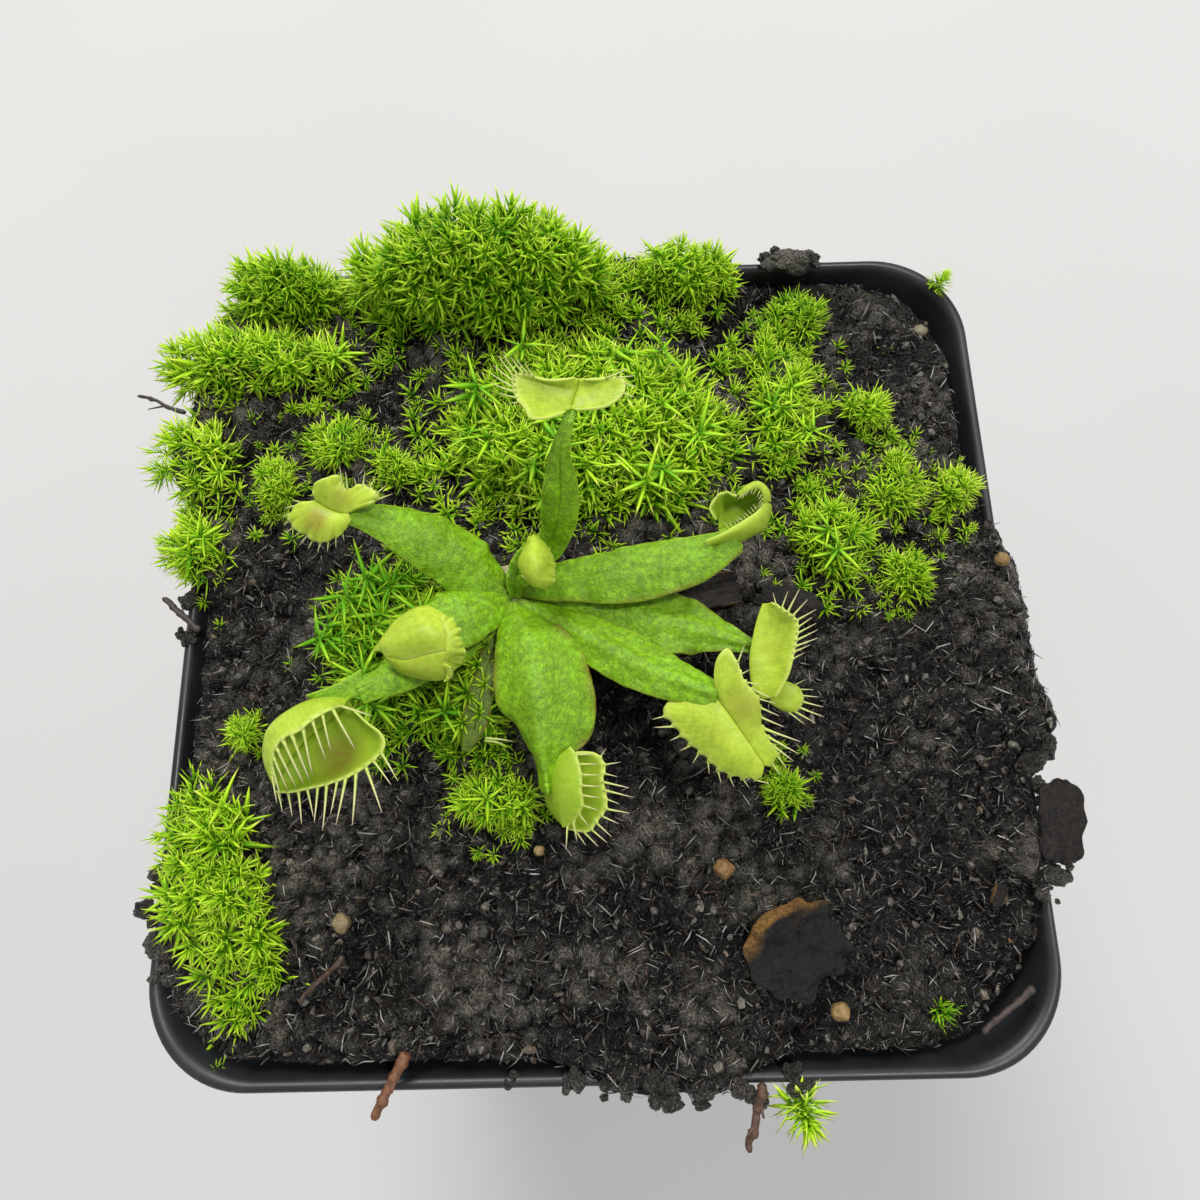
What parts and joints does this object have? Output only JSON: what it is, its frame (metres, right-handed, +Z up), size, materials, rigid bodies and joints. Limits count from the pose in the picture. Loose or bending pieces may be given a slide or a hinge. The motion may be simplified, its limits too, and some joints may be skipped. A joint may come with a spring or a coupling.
{
  "type": "potted venus flytrap",
  "caption": "Square tapered nursery pot filled with peat and moss, with a low rosette of leaves that end in hinged, toothed insect traps.",
  "frame": {"origin": "centre of the pot's underside, on the surface it stands on", "axes": "+Z up, +X to the right across the pot, +Y away from the viewer to the pot's back"},
  "size_m": [0.1002, 0.0979, 0.1063],
  "materials": {
    "pot": "satin black thin moulded plastic",
    "peat": "wet dark brown fibrous peat",
    "rhizome": "pale fleshy bulb",
    "leaf": "satin yellow-green leaf",
    "moss": "soft bright green star moss",
    "bark": "weathered brown bark",
    "twig": "dark wet wood",
    "grit": "rough pale sand grain"
  },
  "bodies": {
    "root": {"pot": "pot", "peat": "peat", "rhizome": "rhizome", "leaf_upper_left": "leaf", "leaf_left_young": "leaf", "leaf_lower_left": "leaf", "leaf_front": "leaf", "leaf_lower_right": "leaf", "leaf_right": "leaf", "leaf_upper_right": "leaf", "leaf_top": "leaf", "leaf_centre": "leaf", "leaf_old_front": "leaf", "moss_back": "moss", "moss_back_left": "moss", "moss_left": "moss", "moss_centre": "moss", "moss_back_right": "moss", "moss_back_far_right": "moss", "moss_right_tall": "moss", "moss_right_middle": "moss", "moss_right_outer": "moss", "moss_right_upper": "moss", "moss_right_lower": "moss", "moss_right_edge": "moss", "moss_left_edge": "moss", "moss_left_edge_low": "moss", "moss_left_inner": "moss", "moss_left_middle": "moss", "moss_left_small": "moss", "moss_under_leaves": "moss", "moss_crown": "moss", "moss_front": "moss", "moss_left_front": "moss", "moss_left_front_small": "moss", "moss_right_front": "moss", "moss_corner": "moss", "moss_shoot_front": "moss", "moss_shoot_corner": "moss", "bark_chip_inner": "bark", "bark_chip_outer": "bark", "bark_flake_front": "bark", "bark_flake_rim": "bark", "bark_chip_right": "bark", "peat_clod_back": "peat", "twig_left": "twig", "twig_left_low": "twig", "splinter_front": "twig", "twig_front": "twig", "twig_corner": "twig", "twig_front_left": "twig", "grit_corner": "grit", "grit_corner_small": "grit", "grit_back_corner": "grit", "grit_right": "grit", "grit_front_pair": "grit", "grit_front": "grit", "grit_left": "grit", "grit_centre": "grit"}
  },
  "joints": []
}
